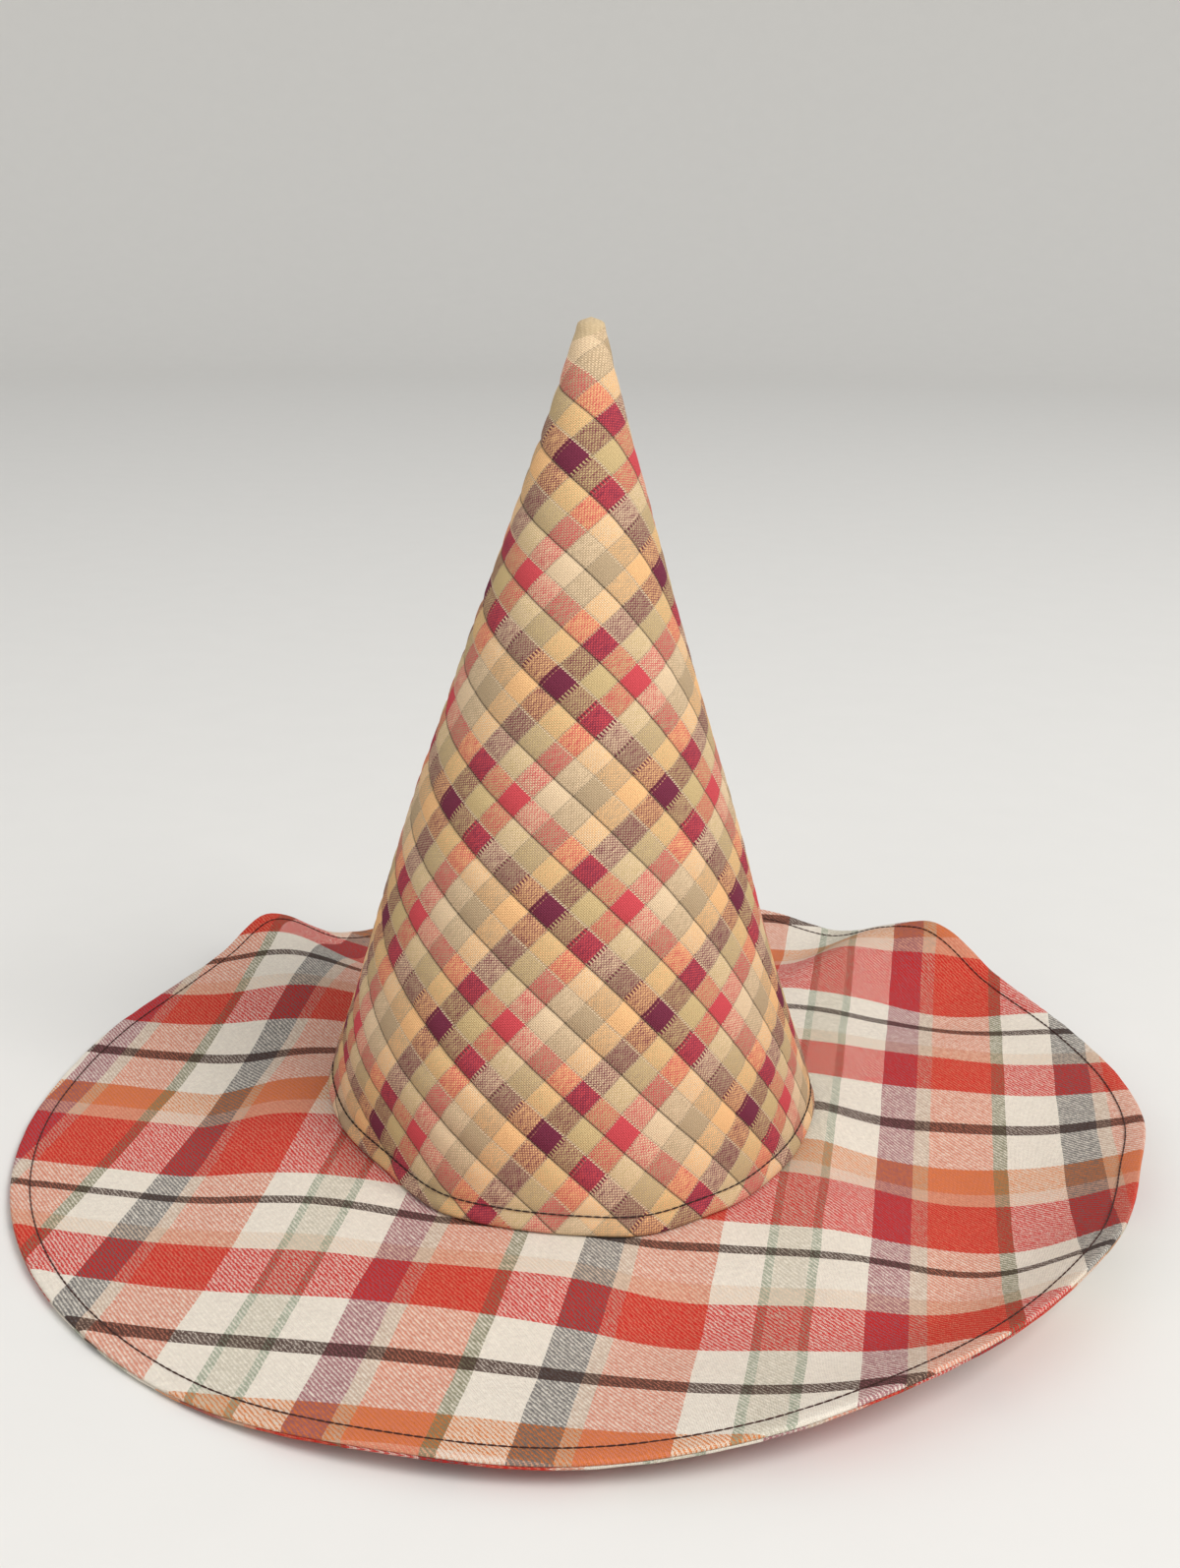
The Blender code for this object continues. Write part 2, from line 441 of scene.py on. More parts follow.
def brim_point(bearing, radius, lift):
    """A point of the flat brim, laid over the waves at some height above the brim's underside."""
    radius = fit_to_edges(bearing, radius)
    return polar(bearing, radius, brim_rise(bearing, radius) + lift)


def crown_point(bearing, radius, height):
    """A point of the round, upright cone, set to the hem's outline, leaned, and lowered."""
    share = hem_share(height)
    radius = radius + hem_shift(bearing) * share
    point = polar(bearing, radius, height)
    point[..., 0] += section_curve("lean", height) * (1 - share)
    point[..., 2] += (brim_top(bearing, radius) + SEAM_GAP - HEM_HEIGHT) * share
    return point


def spin_profile(points, stations, spokes, closed):
    """Surface turned from a profile in the XZ plane: one sector, and then copies of it all round,
    which is quicker than one long spin. Each vertex keeps its station."""
    shape = bmesh.new()
    station = shape.verts.layers.float.new("station")
    corners = [shape.verts.new((radius, 0.0, height)) for radius, height in points]
    for corner, value in zip(corners, stations):
        corner[station] = value
    pairs = list(zip(corners, corners[1:]))
    if closed:
        pairs.append((corners[-1], corners[0]))
    edges = [shape.edges.new(pair) for pair in pairs]
    sector = 2 * math.pi / SECTORS
    turn = {"cent": (0, 0, 0), "axis": (0, 0, 1)}
    steps = spokes // SECTORS
    bmesh.ops.spin(shape, geom=corners + edges, angle=sector, steps=steps, **turn)
    bmesh.ops.spin(
        shape,
        geom=shape.verts[:] + shape.edges[:] + shape.faces[:],
        angle=2 * math.pi - sector,
        steps=SECTORS - 1,
        use_duplicate=True,
        **turn,
    )
    bmesh.ops.remove_doubles(shape, verts=shape.verts, dist=MM / 10000)
    bmesh.ops.recalc_face_normals(shape, faces=shape.faces)
    return shape


def make_mesh(name, shape):
    mesh = bpy.data.meshes.new(name)
    shape.to_mesh(mesh)
    shape.free()
    mesh.shade_smooth()
    return mesh


def read_numbers(collection, name, kind=float, width=1):
    """One property of every item of a mesh, as one long row of numbers."""
    numbers = np.empty(len(collection) * width, kind)
    collection.foreach_get(name, numbers)
    return numbers


def read_points(mesh):
    return read_numbers(mesh.vertices, "co", width=3).reshape(-1, 3)


def read_stations(mesh):
    return read_numbers(mesh.attributes["station"].data, "value")


def write_points(mesh, points):
    mesh.vertices.foreach_set("co", points.astype(np.float32).ravel())
    mesh.update()


def add_piece(name, mesh):
    piece = bpy.data.objects.new(name, mesh)
    bpy.context.scene.collection.objects.link(piece)
    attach(piece, "root")
    return piece


def arc_lengths(points):
    """Distance along a line of points from its first."""
    steps = np.linalg.norm(np.diff(np.asarray(points), axis=0), axis=1)
    return np.concatenate([[0.0], np.cumsum(steps)])


def resample(points, count):
    """The same line as a number of points an equal distance apart."""
    points = np.asarray(points)
    length = arc_lengths(points)
    wanted = np.linspace(0, length[-1], count)
    return np.stack([np.interp(wanted, length, column) for column in points.T], axis=-1)


def crown_outside():
    """Radius and height from the tip down to where the hem turns under."""
    heights = np.linspace(CROWN_HEIGHT, HEM_HEIGHT + CROWN_WALL / 2, PROFILE_SAMPLES)
    line = np.stack([section_curve("radius", heights), heights], axis=-1)
    return resample(line, OUTSIDE_RINGS + 1)


def crown_profile():
    """The outside, the half round of the turned hem, and the inside up to under the tip."""
    outside = crown_outside()
    edge_radius, edge_height = outside[-1]
    turns = np.linspace(0, math.pi, HEM_STEPS + 1)[1:]
    roll = CROWN_WALL / 2
    hem = np.stack(
        [edge_radius - roll + roll * np.cos(turns), edge_height - roll * np.sin(turns)], axis=-1
    )
    inner_top = CROWN_HEIGHT - TIP_FILL
    heights = np.linspace(edge_height, inner_top - CROWN_WALL, INSIDE_RINGS + 1)[1:]
    inside = np.stack([section_curve("radius", heights) - CROWN_WALL, heights], axis=-1)
    return np.concatenate([outside, hem, inside, [(0.0, inner_top)]])


def check_places(rho, bearing):
    """Places along and across the check, in millimetres, for a distance from the tip in metres."""
    psi = np.radians(bearing - FRONT) * CHECK_HALF_ANGLE_SHARE
    across = rho / MM * np.sin(psi)
    down = rho / MM * np.cos(psi)
    along = (down + across) / math.sqrt(2)
    over = (down - across) / math.sqrt(2)
    skewed_along = along - COLUMN_SKEW * (over - CHECK_MIDDLE)
    return skewed_along, over + ROW_SKEW * (along - CHECK_MIDDLE)


def arch(phase):
    """A rounded rise from 0 at both ends of each whole step to 1 in its middle."""
    return 1 - (2 * (phase % 1.0) - 1) ** 2


def quilt_relief(along, over):
    """Millimetres that the quilted surface stands out or sinks, from its place on the check."""
    rows = (over - ROW_START) / ROW_WIDTH
    columns = (along - COLUMN_START) / COLUMN_WIDTH
    puff = ROW_PUFF * arch(rows) + PAIR_PUFF * arch((rows - 1) / 2) + COLUMN_PUFF * arch(columns)
    nearest = np.round(rows).astype(int)
    depths = np.array(ROW_SEAM_DEPTHS)[nearest % len(ROW_SEAM_DEPTHS)]
    sunk = depths * bell((rows - nearest) * ROW_WIDTH, ROW_SEAM_REACH)
    waves = np.sin(along / UNEVEN_ALONG + 1.7 * np.sin(over / UNEVEN_BEND))
    waves *= np.sin(over / UNEVEN_OVER + 0.8)
    return (puff - sunk) * (1 + UNEVEN_SHARE * waves)


def wrap_bearing(bearing):
    """Bearings from the back seam round by the front and on to the back seam again."""
    return (bearing - BACK) % FULL_TURN + BACK - FULL_TURN


def crown_relief(rho, bearing, radius, hem_rho):
    """Millimetres outwards from the smooth cone: quilting, hem and the sunk back seam."""
    above_hem = hem_rho + CROWN_WALL / 2 - rho
    above_stitches = above_hem - HEM_STITCH_INSET
    relief = quilt_relief(*check_places(rho, bearing))
    relief *= np.clip(above_stitches / HEM_FADE, 0, 1)
    relief *= np.clip((rho - TIP_SMOOTH) / TIP_FADE, 0, 1)
    relief *= QUILTING_AT_TIP + QUILTING_GAIN * rho / hem_rho
    relief -= HEM_GROOVE_DEPTH * bell(above_stitches, HEM_GROOVE_REACH)
    puckers = HEM_PUCKER_HEIGHT * ripples(bearing, HEM_RIPPLES)
    relief += puckers * bell(above_hem, HEM_PUCKER_REACH)
    from_seam = np.radians(np.minimum(bearing - BACK + FULL_TURN, BACK - bearing)) * radius
    seam = BACK_SEAM_DEPTH * bell(from_seam, BACK_SEAM_REACH)
    return relief - seam * np.clip(rho / BACK_SEAM_FADE, 0, 1)


def corner_bearings(mesh, bearing, on_axis):
    """The bearing of each face corner, on the same side of the back seam as the face's middle."""
    vertex = read_numbers(mesh.loops, "vertex_index", int)
    sides = read_numbers(mesh.polygons, "loop_total", int)
    face = np.repeat(np.arange(len(mesh.polygons)), sides)
    centre = read_numbers(mesh.polygons, "center", width=3)
    middle = wrap_bearing(np.degrees(np.arctan2(centre[1::3], centre[0::3])))[face]
    half = FULL_TURN / 2
    corner = middle + (bearing[vertex] - middle + half) % FULL_TURN - half
    return np.where(on_axis[vertex], middle, corner), vertex, face


def make_crown():
    """The quilted cone: check cloth outside and round the turned hem, plain back cloth inside."""
    profile = crown_profile()
    stations = arc_lengths(profile)
    hem_rho = stations[OUTSIDE_RINGS]
    mesh = make_mesh("crown_shell", spin_profile(profile, stations, CROWN_SPOKES, closed=False))
    points = read_points(mesh)
    rho = read_stations(mesh)
    bearing = wrap_bearing(np.degrees(np.arctan2(points[:, 1], points[:, 0])))
    radius = np.hypot(points[:, 0], points[:, 1])
    on_axis = radius < MM / 100
    corner, vertex, face = corner_bearings(mesh, bearing, on_axis)
    out = np.where(rho <= hem_rho, crown_relief(rho, bearing, radius, hem_rho), 0.0) * MM

    # Outwards square to the cone's side, and the tip above its flat is pressed down
    height = points[:, 2] + out * math.sin(CONE_SLOPE)
    height -= np.maximum(height - TIP_FLAT, 0.0) / TIP_SQUASH
    radius = np.where(on_axis, 0.0, np.maximum(radius + out * math.cos(CONE_SLOPE), 0.0))
    write_points(mesh, crown_point(bearing, radius, height))

    # The back cloth starts past the hem's turn, and its places run down from the tip again
    corner_rho = rho[vertex]
    face_rho = np.bincount(face, corner_rho) / np.bincount(face)
    back = face_rho > hem_rho + HEM_TURN + CROWN_WALL
    corner_rho = np.where(back[face], 2 * hem_rho - corner_rho, corner_rho)
    along, over = check_places(np.maximum(corner_rho, 0.0), corner)
    add_cloth_map(mesh, along * MM, over * MM)
    mesh.polygons.foreach_set("material_index", back.astype(np.int32))
    mesh.materials.append(check_cloth())
    mesh.materials.append(backing_cloth())
    crown = add_piece("crown_shell", mesh)
    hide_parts("crown_cone")
    return crown


def add_cloth_map(mesh, along, over):
    """Each face corner's place on the flat cloth, in metres, as the piece's own UV map."""
    places = mesh.uv_layers.new(name="cloth")
    places.data.foreach_set("uv", np.stack([along, over], axis=-1).astype(np.float32).ravel())


def brim_profile(rolled_top):
    """Cross-section of one cloth: out over its rolled side, round the rim, and back in."""
    radii = np.linspace(HOLE_RADIUS, BRIM_RADIUS - EDGE_ROLL, BRIM_RINGS + 1)
    turns = np.linspace(0, math.pi / 2, EDGE_STEPS + 1)
    roll = np.stack(
        [
            BRIM_RADIUS - EDGE_ROLL + EDGE_ROLL * np.sin(turns),
            BRIM_CLOTH - EDGE_ROLL + EDGE_ROLL * np.cos(turns),
        ],
        axis=-1,
    )
    rolled = np.concatenate([[(radius, BRIM_CLOTH) for radius in radii[:-1]], roll])
    square = np.array([(BRIM_RADIUS, 0.0)] + [(radius, 0.0) for radius in radii[::-1]])
    profile = np.concatenate([rolled, square])
    if not rolled_top:
        profile[:, 1] = BRIM_CLOTH - profile[:, 1]
    return profile


def rim_relief(bearing, radius):
    """Metres that the cloth stands out near the rim: sunk along the stitches, with soft puckers."""
    inset = BRIM_RADIUS - radius
    sunk = RIM_GROOVE_DEPTH * bell(inset - RIM_STITCH_INSET, RIM_GROOVE_REACH)
    ridge = RIM_RIDGE_HEIGHT * bell(inset - RIM_RIDGE_INSET, RIM_RIDGE_REACH)
    puckers = RIM_PUCKER_HEIGHT * ripples(bearing, RIM_RIPPLES)
    return ridge - sunk + puckers * bell(inset, RIM_PUCKER_REACH)


def make_brim_cloth(name, lift, top_shows, finish, node):
    """One cloth of the brim: a flat ring with one rolled edge, laid over the waves."""
    profile = brim_profile(top_shows)
    stations = arc_lengths(profile)
    mesh = make_mesh(name, spin_profile(profile, stations, BRIM_SPOKES, closed=True))
    points = read_points(mesh)
    bearing = np.degrees(np.arctan2(points[:, 1], points[:, 0]))
    radius = np.hypot(points[:, 0], points[:, 1])
    shows = points[:, 2] > BRIM_CLOTH / 2 if top_shows else points[:, 2] < BRIM_CLOTH / 2
    side = 1 if top_shows else -1
    relief = np.where(shows, rim_relief(bearing, radius), 0.0) * side
    laid = brim_point(bearing, radius, points[:, 2] + lift + relief)
    laid[:, 2] = np.maximum(laid[:, 2], 0.0)
    write_points(mesh, laid)

    # Round the rolled edge the cloth goes on past the rim, so its places do too
    station = read_stations(mesh)
    rolled = station <= stations[BRIM_RINGS + EDGE_STEPS + 1]
    past = np.where(rolled, HOLE_RADIUS + station - radius, 0.0)
    cloth = laid * (1 + past / radius)[:, None]
    vertex = read_numbers(mesh.loops, "vertex_index", int)
    add_cloth_map(mesh, cloth[vertex, 0], cloth[vertex, 1])
    mesh.materials.append(finish)
    piece = add_piece(name, mesh)
    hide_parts(node)
    return piece


def stitch_line(name, points, out, finish):
    """Stitches of equal length along a closed line of points, each lying in the cloth's surface."""
    points = np.concatenate([points, points[:1]])
    out = np.concatenate([out, out[:1]])
    length = arc_lengths(points)

    def read(values, place):
        return Vector([np.interp(place, length, column) for column in values.T])

    shape = bmesh.new()
    count = round(length[-1] / STITCH_PITCH)
    for start in np.arange(count) * length[-1] / count:
        middle = read(points, start + STITCH_LENGTH / 2)
        along = (read(points, start + STITCH_LENGTH) - read(points, start)).normalized()
        side = read(out, start).cross(along).normalized()
        up = along.cross(side)
        lie = Matrix([side * STITCH_WIDTH, up * STITCH_DEPTH, along * STITCH_LENGTH]).transposed()
        bmesh.ops.create_uvsphere(
            shape,
            u_segments=STITCH_SIDES,
            v_segments=STITCH_BANDS,
            radius=0.5,
            matrix=Matrix.Translation(middle) @ lie.to_4x4(),
        )
    mesh = make_mesh(name, shape)
    mesh.materials.append(finish)
    return add_piece(name, mesh)


def line_bearings():
    return np.linspace(0, FULL_TURN, LINE_SAMPLES, endpoint=False)


def brim_stitches(name, radius, lift, upwards, finish):
    """Stitches along a ring of the brim, on its upper side or its lower one."""
    bearing = line_bearings()
    radius = np.full_like(bearing, radius)
    here = brim_point(bearing, radius, lift)
    outward = brim_point(bearing, radius + OUTWARD_STEP, lift) - here
    onward = brim_point(bearing + ONWARD_STEP, radius, lift) - here
    out = np.cross(outward, onward)
    out /= np.linalg.norm(out, axis=1, keepdims=True)
    return stitch_line(name, here, out if upwards else -out, finish)


def hem_stitches(finish):
    """Stitches round the crown, a little above its turned hem."""
    bearing = line_bearings()
    outside = crown_outside()
    stations = arc_lengths(outside)
    place = stations[-1] - HEM_STITCH_INSET + CROWN_WALL / 2
    radius = np.full_like(bearing, np.interp(place, stations, outside[:, 0]) - HEM_STITCH_SUNK)
    height = np.full_like(bearing, np.interp(place, stations, outside[:, 1]))
    line = crown_point(bearing, radius, height)
    out = polar(bearing, np.full_like(bearing, math.cos(CONE_SLOPE)), math.sin(CONE_SLOPE))
    return stitch_line("hem_stitches", line, out, finish)


class Wire:
    """A socket of a finish's nodes. An expression on wires and numbers adds its Math nodes."""

    def __init__(self, finish, socket):
        self.finish = finish
        self.socket = socket

    def maths(self, operation, *values):
        return self.finish.node("ShaderNodeMath", {"operation": operation}, dict(enumerate(values)))

    def __add__(self, other):
        return self.maths("ADD", self, other)

    def __radd__(self, other):
        return self.maths("ADD", other, self)

    def __sub__(self, other):
        return self.maths("SUBTRACT", self, other)

    def __rsub__(self, other):
        return self.maths("SUBTRACT", other, self)

    def __mul__(self, other):
        return self.maths("MULTIPLY", self, other)

    def __rmul__(self, other):
        return self.maths("MULTIPLY", other, self)

    def __truediv__(self, other):
        return self.maths("DIVIDE", self, other)

    def __lt__(self, other):
        return self.maths("LESS_THAN", self, other)

    def __abs__(self):
        return self.maths("ABSOLUTE", self)

    def __mod__(self, other):
        return self.maths("FLOORED_MODULO", self, other)

    def floor(self):
        return self.maths("FLOOR", self)

    def kept(self):
        """The value held between 0 and 1."""
        return self.maths("MINIMUM", self.maths("MAXIMUM", self, 0.0), 1.0)


class Finish:
    """A material made of nodes. Cloth and thread have little shine."""

    SHINE = 0.10

    def __init__(self, name, roughness, sheen):
        self.material = bpy.data.materials.new(name)
        self.material.use_nodes = True
        self.tree = self.material.node_tree
        self.shader = self.tree.nodes["Principled BSDF"]
        self.shader.inputs["Roughness"].default_value = roughness
        self.shader.inputs["Sheen Weight"].default_value = sheen
        self.shader.inputs["Specular IOR Level"].default_value = self.SHINE

    def node(self, kind, settings, inputs, output=0):
        """Adds a node: its settings first, then a value or a link for each socket."""
        made = self.tree.nodes.new(kind)
        for name, value in settings.items():
            if name == "stops":
                set_stops(made.color_ramp, value)
            else:
                setattr(made, name, value)
        for name, value in inputs.items():
            if isinstance(value, Wire):
                self.tree.links.new(value.socket, made.inputs[name])
            else:
                made.inputs[name].default_value = value
        return Wire(self, made.outputs[output])

    def mix(self, factor, first, second, blend="MIX"):
        """Colours mixed: by the factor from the first to the second."""
        settings = {"data_type": "RGBA", "blend_type": blend}
        return self.node("ShaderNodeMix", settings, {0: factor, 6: first, 7: second}, 2)

    def product(self, first, second):
        """Colours multiplied by each other."""
        return self.mix(1.0, first, second, "MULTIPLY")

    def lit(self, colour, light):
        """The colour made lighter or darker by a number."""
        return self.product(colour, self.vector(light, light, light))

    def axes(self, vector):
        return [self.node("ShaderNodeSeparateXYZ", {}, {0: vector}, axis) for axis in range(3)]

    def vector(self, x, y, z=0.0):
        return self.node("ShaderNodeCombineXYZ", {}, {0: x, 1: y, 2: z})

    def object_place(self):
        return self.node("ShaderNodeTexCoord", {}, {}, "Object")

    def cloth_place(self):
        return self.node("ShaderNodeUVMap", {"uv_map": "cloth"}, {})

    def noise(self, place, scale, detail=2.0):
        """Noise about 0, with so many bumps to a unit of place."""
        inputs = {"Vector": place, "Scale": scale, "Detail": detail}
        return self.node("ShaderNodeTexNoise", {}, inputs) - 0.5

    def stripes(self, stripes, place):
        """The square root of the colour, and the cover, of the stripe at a place, in millimetres
        from the first's edge. The brim's threads are mixed as roots and squared afterwards, which
        keeps them as dark as the eye sees them."""
        period = sum(stripe.width for stripe in stripes)
        edge = 0.0
        stops = []
        for stripe in stripes:
            root = [math.sqrt(channel) for channel in stripe.colour]
            stops.append((edge / period, (*root, stripe.cover)))
            edge += stripe.width
        colour = self.node("ShaderNodeValToRGB", {"stops": stops}, {0: (place / period) % 1.0})
        return colour, Wire(self, colour.socket.node.outputs["Alpha"])

    def wear(self, colour, height, depth):
        """Gives the shader its colour, and a bump of so many metres for a height of 1."""
        self.tree.links.new(colour.socket, self.shader.inputs["Base Color"])
        inputs = {"Height": height, "Distance": depth, "Strength": 1.0}
        bump = self.node("ShaderNodeBump", {}, inputs)
        self.tree.links.new(bump.socket, self.shader.inputs["Normal"])


def set_stops(ramp, stops):
    ramp.interpolation = "CONSTANT"
    while len(ramp.elements) < len(stops):
        ramp.elements.new(1.0)
    for element, (position, colour) in zip(ramp.elements, stops):
        element.position = position
        element.color = colour


def solid(colour):
    """A plain colour as a mix takes it."""
    return (*colour, 1.0)


def thread_round(threads):
    """1 along the middle of each thread, falling to 0 at its sides."""
    return 1.0 - abs((threads % 1.0) * 2.0 - 1.0)


def from_line(steps):
    """How far a place lies from the nearest whole step, in steps."""
    return abs((steps + 0.5) % 1.0 - 0.5)


def plaid_cloth(name, shift_along, shift_over, mirrored):
    """Brushed twill plaid. Places are millimetres along the two ways of its threads."""
    finish = Finish(name, roughness=0.92, sheen=0.0)
    place = finish.cloth_place()
    x, y, _ = finish.axes(place)
    turn = math.radians(-PLAID_TURN if mirrored else PLAID_TURN)
    drift = finish.noise(place, scale=45.0, detail=1.0)
    along = (x * math.cos(turn) - y * math.sin(turn)) / MM + drift * 1.1
    over = (x * math.sin(turn) + y * math.cos(turn)) / MM - drift * 0.9

    # Stripes, with fuzzy edges
    fuzz = finish.noise(place, scale=2600.0)
    edge = fuzz * 0.5
    warp, _ = finish.stripes(WARP_STRIPES, along + edge - (WARP_START + shift_along))
    weft, cover = finish.stripes(WEFT_STRIPES, (WEFT_START + shift_over) - over + edge)

    # The diagonal steps of the twill, broken up by tufts, say which thread lies on top
    tufts = finish.noise(place, scale=620.0, detail=3.0)
    warp_thread = along / PLAID_THREAD
    weft_thread = over / PLAID_THREAD
    diagonal = (warp_thread.floor() + weft_thread.floor()) * TWILL_STEP
    diagonal = diagonal + fuzz * 0.25 + tufts * 0.80
    weft_up = diagonal % 1.0 < cover - TWILL_STEP / 2
    warp_round = (1.0 - weft_up) * thread_round(warp_thread)
    thread = weft_up * thread_round(weft_thread) + warp_round

    # Neither thread hides the other, and the yarn is uneven
    slub = finish.noise(place, scale=430.0, detail=1.0)
    cloud = finish.noise(place, scale=90.0, detail=3.0)
    colour = finish.mix((weft_up * 0.60 + 0.20 + slub * 0.45).kept(), warp, weft)
    colour = finish.product(colour, colour)
    # Painted shade and light: the threads are lighter on their rounded tops and darker at their
    # sides
    light = 0.88 + thread * 0.34 + cloud * 0.10 + fuzz * 0.35 + tufts * 0.30 + slub * 0.10
    height = thread * 0.7 + fuzz * 0.9 + weft_up * 0.25
    finish.wear(finish.lit(colour, light), height, depth=0.00016)
    return finish.material


def check_cloth():
    """Quilted check of the crown: plain weave, toothed columns, and dashes along the seams."""
    finish = Finish("crown_check_cloth", roughness=0.90, sheen=0.02)
    place = finish.cloth_place()
    u, v, _ = finish.axes(place)
    drift = finish.noise(place, scale=60.0, detail=1.0) * 0.5
    along = u / MM + drift
    over = v / MM + drift
    fuzz = finish.noise(place, scale=2400.0)
    row_place = over - ROW_START
    column_place = along - COLUMN_START
    row = row_place / ROW_WIDTH
    from_seam = from_line(row) * ROW_WIDTH
    from_side = from_line(column_place / COLUMN_WIDTH) * COLUMN_WIDTH
    plum_middle = ROW_COLOURS.index(PLUM) + 0.5
    plum_row = from_line((row - plum_middle) / len(ROW_COLOURS)) < 0.5 / len(ROW_COLOURS)

    # The sides of the columns are toothed: long stitches of either thread by turns, which are
    # longest in the plum rows
    tooth = (over / TOOTH_PITCH) % 1.0 < 0.5
    depth = TOOTH_DEPTH * 0.3 + plum_row * TOOTH_DEPTH * 0.7
    columns, _ = finish.stripes(CHECK_COLUMNS, column_place + (tooth - 0.5) * depth)
    rows, _ = finish.stripes(CHECK_ROWS, row_place + fuzz * 0.25)
    beside = (from_side < TOOTH_REACH) * (0.25 + plum_row * 0.75)

    # Threads, and streaks of uneven yarn along the columns
    column_thread = column_place / (COLUMN_WIDTH / THREADS_PER_STRIPE)
    row_thread = row_place / (ROW_WIDTH / THREADS_PER_STRIPE)
    column_up = ((column_thread.floor() + row_thread.floor()) / 2.0) % 1.0 < 0.4
    row_round = (1.0 - column_up) * thread_round(row_thread)
    thread = column_up * thread_round(column_thread) + row_round
    streak_place = finish.vector(along / STREAK_WIDTH, over / STREAK_LENGTH)
    streak = finish.noise(streak_place, scale=1.0)
    share = (0.27 + column_up * 0.52 + streak * 1.5 + fuzz * 0.6).kept()
    share = share * (1.0 - beside) + beside * (0.06 + tooth * 0.88)
    colour = finish.mix(share, finish.product(rows, rows), finish.product(columns, columns))

    # Light slanting dashes along the seams, strongest above the red, plum and taupe rows, and
    # light cross stitches down the sides of the columns
    light_seam = from_line(row / 2.0) < 0.25
    dash = ((along + over * 0.6) / DASH_PITCH) % 1.0 < 0.58
    dashes = (from_seam < DASH_REACH) * dash * (0.25 + light_seam * 0.75)
    cross = (over / DASH_PITCH) % 1.0 < 0.5
    crosses = (from_side < CROSS_REACH) * cross * (1.0 - plum_row)
    colour = finish.mix(dashes * 0.92, colour, solid(LIGHT_THREAD))
    colour = finish.mix(crosses * 0.60, colour, solid(LIGHT_THREAD))

    # Painted shade: each row darkens a little towards its foot, as a row puffed out and lit from
    # above does, and the seams get painted shade in their grooves, except near the tip
    from_tip = finish.node("ShaderNodeVectorMath", {"operation": "LENGTH"}, {0: place}, "Value")
    seam_dip_and_shade = (1.0 - from_seam / SEAM_SHADE).kept() * (1.0 - light_seam * 0.6)
    seam_dip_and_shade = seam_dip_and_shade * ((from_tip - TIP_SEAMLESS) / TIP_SEAM_FADE).kept()
    # Painted shade in the grooves down the sides of the columns
    column_side_dip_and_shade = (1.0 - from_side / SIDE_SHADE).kept()
    light = 0.81 - (row % 1.0) * 0.10 - seam_dip_and_shade * 0.70 - column_side_dip_and_shade * 0.30
    # Painted shade and light: each thread is lighter on its rounded top and darker at its sides
    colour = finish.lit(colour, light + thread * 0.62 + fuzz * 0.7)
    colour = finish.mix(from_tip < TIP_PLAIN, colour, solid(TIP_CLOTH))
    height = thread * 0.5 + fuzz * 0.4 + dashes * 0.5 - seam_dip_and_shade * 0.9 - column_side_dip_and_shade * 0.5
    finish.wear(colour, height, depth=0.00035)
    return finish.material


def backing_cloth():
    """Plain cream back of the quilted cloth, with its lines of quilting."""
    finish = Finish("crown_backing_cloth", roughness=0.92, sheen=0.08)
    place = finish.cloth_place()
    u, v, _ = finish.axes(place)
    from_seam = from_line((v / MM - ROW_START) / ROW_WIDTH) * ROW_WIDTH
    seam_dip_and_shade = (1.0 - from_seam / ROW_SEAM_REACH).kept()
    puff = 1.0 - seam_dip_and_shade * seam_dip_and_shade
    across = abs((u / MM / BACKING_THREAD) % 1.0 - 0.5)
    down = abs((v / MM / BACKING_THREAD) % 1.0 - 0.5)
    threads = (across + down) * 0.10
    fuzz = finish.noise(place, scale=2000.0)
    # Painted shade: darker along the quilting seams, lighter on the puffs between them
    colour = finish.lit(solid(BACKING), 0.86 + puff * 0.10 + threads + fuzz * 0.3)
    finish.wear(colour, puff + threads * 0.4 + fuzz * 0.1, depth=0.0009)
    return finish.material


def thread_finish(name, colour):
    """Twisted sewing thread."""
    finish = Finish(name, roughness=0.7, sheen=0.05)
    x, y, z = finish.axes(finish.object_place())
    twist = abs(((x + y + z) / TWIST_LENGTH) % 1.0 * 2.0 - 1.0)
    # Painted shade and light: the twist is lighter on its ridges, darker in the hollows between
    finish.wear(finish.lit(solid(colour), 0.8 + twist * 0.3), twist, depth=0.00008)
    return finish.material


def floor_finish():
    """A pale, matt floor with a faint grain."""
    finish = Finish("pale_floor", roughness=0.85, sheen=0.0)
    grain = finish.noise(finish.object_place(), scale=30.0, detail=4.0)
    finish.wear(finish.lit(solid(FLOOR_COLOUR), 0.98 + grain * 0.03), grain, depth=0.00002)
    return finish.material


def make_floor():
    """A pale floor that curves up into a low wall all round, with no edge between the two."""
    shape = bmesh.new()
    turns = np.linspace(0, math.pi / 2, WALL_STEPS + 1)
    curve = [
        (FLOOR_RADIUS + WALL_CURVE * math.sin(turn), WALL_CURVE * (1 - math.cos(turn)))
        for turn in turns
    ]
    line = [(0.0, 0.0), *curve, (FLOOR_RADIUS + WALL_CURVE, WALL_HEIGHT)]
    corners = [shape.verts.new((radius, 0.0, height)) for radius, height in line]
    edges = [shape.edges.new(pair) for pair in zip(corners, corners[1:])]
    bmesh.ops.spin(
        shape,
        geom=corners + edges,
        cent=(0, 0, 0),
        axis=(0, 0, 1),
        angle=2 * math.pi,
        steps=FLOOR_SIDES,
        use_merge=True,
    )
    bmesh.ops.remove_doubles(shape, verts=shape.verts, dist=MM)
    mesh = make_mesh("floor", shape)
    mesh.materials.append(floor_finish())
    floor = bpy.data.objects.new("floor", mesh)
    bpy.context.scene.collection.objects.link(floor)


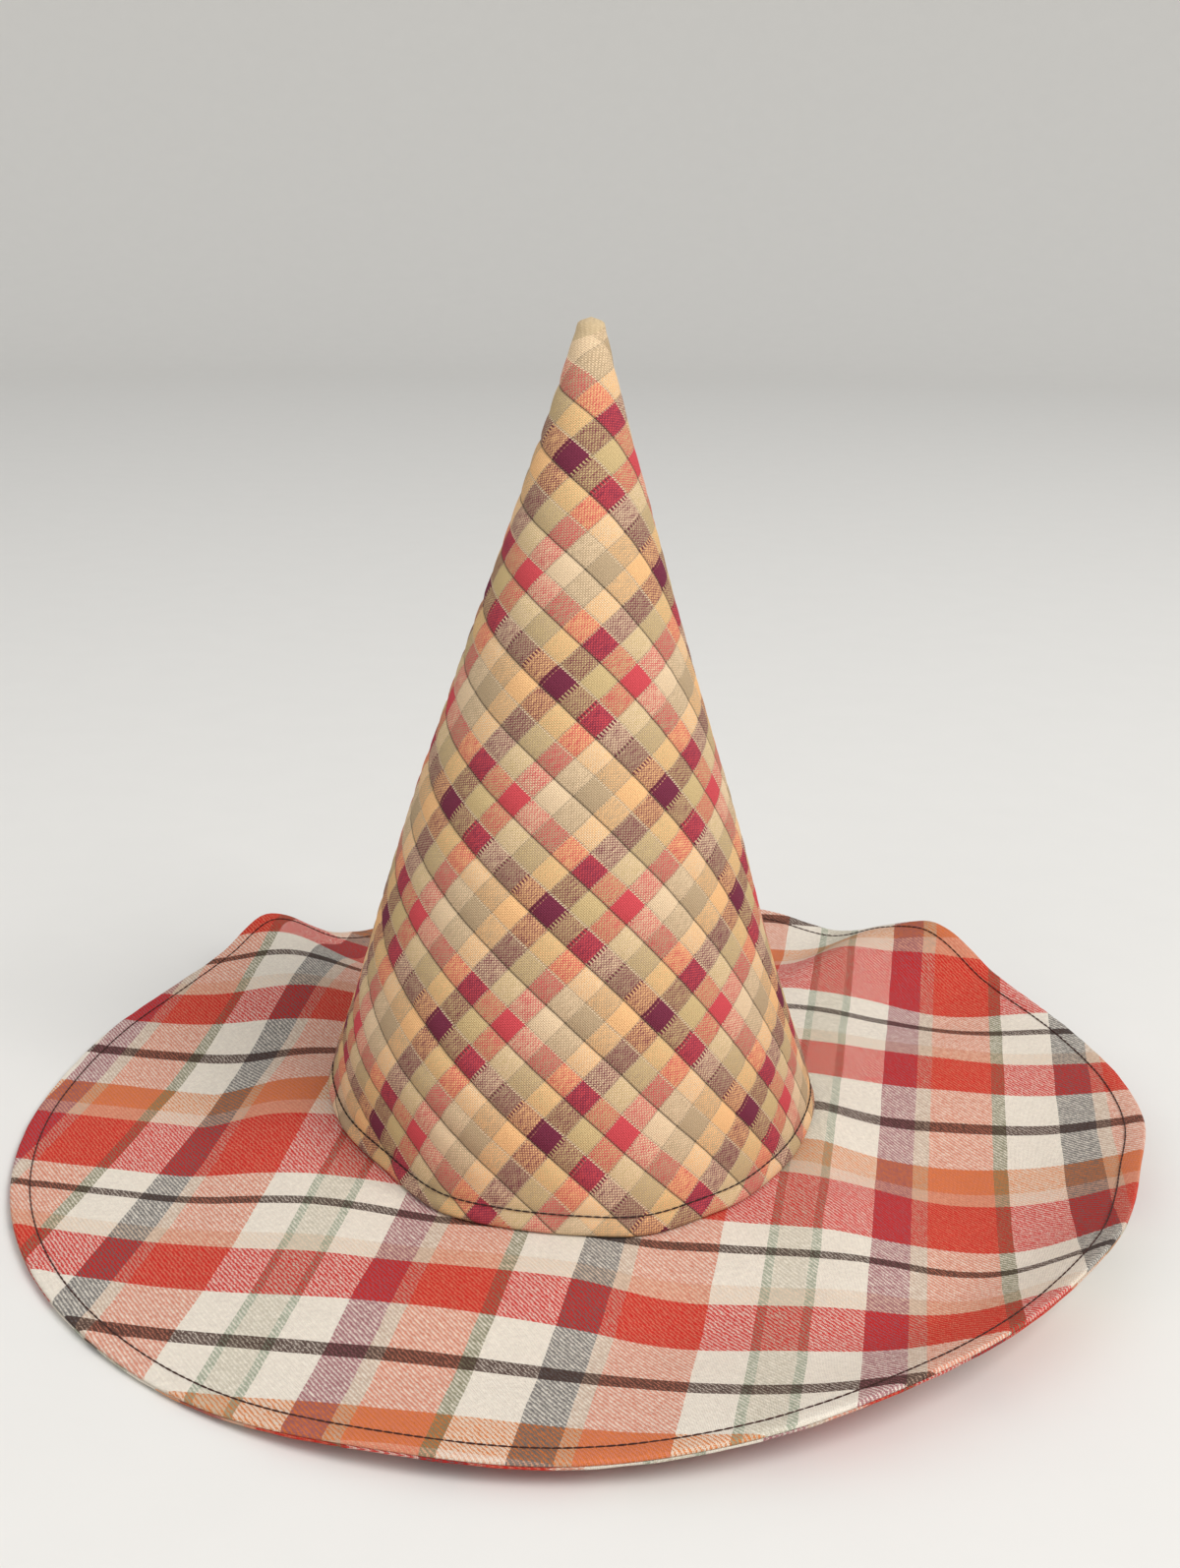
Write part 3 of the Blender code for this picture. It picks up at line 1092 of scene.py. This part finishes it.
def make_camera():
    """The camera looks along +Y and down, and is turned a little about its own axis."""
    lens = bpy.data.cameras.new("camera")
    lens.lens = CAMERA_LENS
    lens.sensor_fit = "VERTICAL"
    lens.sensor_height = SENSOR_SIZE
    lens.sensor_width = SENSOR_SIZE
    camera = bpy.data.objects.new("camera", lens)
    down = math.radians(CAMERA_DOWN)
    roll = math.radians(CAMERA_ROLL)
    forward = Vector((0.0, math.cos(down), -math.sin(down)))
    level_right = Vector((1.0, 0.0, 0.0))
    level_up = level_right.cross(forward)
    right = level_right * math.cos(roll) + level_up * math.sin(roll)
    up = level_up * math.cos(roll) - level_right * math.sin(roll)
    turn = Matrix((right, up, -forward)).transposed()
    camera.matrix_world = Matrix.Translation(CAMERA_PLACE) @ turn.to_4x4()
    bpy.context.scene.collection.objects.link(camera)
    bpy.context.scene.camera = camera


def add_lamp(name, place, size, power):
    """A square soft lamp that faces the middle of the hat."""
    lamp = bpy.data.lights.new(name, "AREA")
    lamp.size = size
    lamp.energy = power
    holder = bpy.data.objects.new(name, lamp)
    aim = Vector(LAMP_AIM) - Vector(place)
    holder.location = place
    holder.rotation_euler = aim.to_track_quat("-Z", "Y").to_euler()
    bpy.context.scene.collection.objects.link(holder)


def light_studio():
    """Even light from all round, with a large lamp at the right and a weak one at the left."""
    world = bpy.data.worlds.new("studio")
    world.use_nodes = True
    air = world.node_tree.nodes["Background"]
    air.inputs["Color"].default_value = solid(AIR_COLOUR)
    air.inputs["Strength"].default_value = AIR_STRENGTH
    bpy.context.scene.world = world
    for lamp in LAMPS:
        add_lamp(*lamp)
    bpy.context.scene.view_settings.view_transform = "Standard"


def make_hat():
    """All the cloths and stitches."""
    under = make_brim_cloth(
        "brim_under_cloth",
        lift=0.0,
        top_shows=False,
        finish=plaid_cloth("under_plaid", UNDER_SHIFT_ALONG, UNDER_SHIFT_OVER, mirrored=True),
        node="brim_under",
    )
    upper = make_brim_cloth(
        "brim_upper_cloth",
        lift=BRIM_CLOTH + SEAM_GAP,
        top_shows=True,
        finish=plaid_cloth("upper_plaid", 0.0, 0.0, mirrored=False),
        node="brim_upper",
    )
    crown = make_crown()

    dark_thread = thread_finish("dark_brown_thread", DARK_BROWN)
    brown_thread = thread_finish("brown_thread", BROWN)
    stitch_radius = BRIM_RADIUS - RIM_STITCH_INSET
    rim_top = brim_stitches(
        "rim_stitches",
        stitch_radius,
        lift=BRIM_THICKNESS,
        upwards=True,
        finish=brown_thread,
    )
    rim_under = brim_stitches(
        "rim_stitches_under",
        stitch_radius,
        lift=STITCH_DEPTH / 2,
        upwards=False,
        finish=brown_thread,
    )
    hole_under = brim_stitches(
        "hole_stitches_under",
        HOLE_RADIUS + HOLE_STITCH_INSET,
        lift=0.0,
        upwards=False,
        finish=brown_thread,
    )
    hem = hem_stitches(dark_thread)

    slant = arc_lengths(crown_outside())[-1]


def main():
    make_floor()
    make_camera()
    light_studio()
    make_hat()


main()
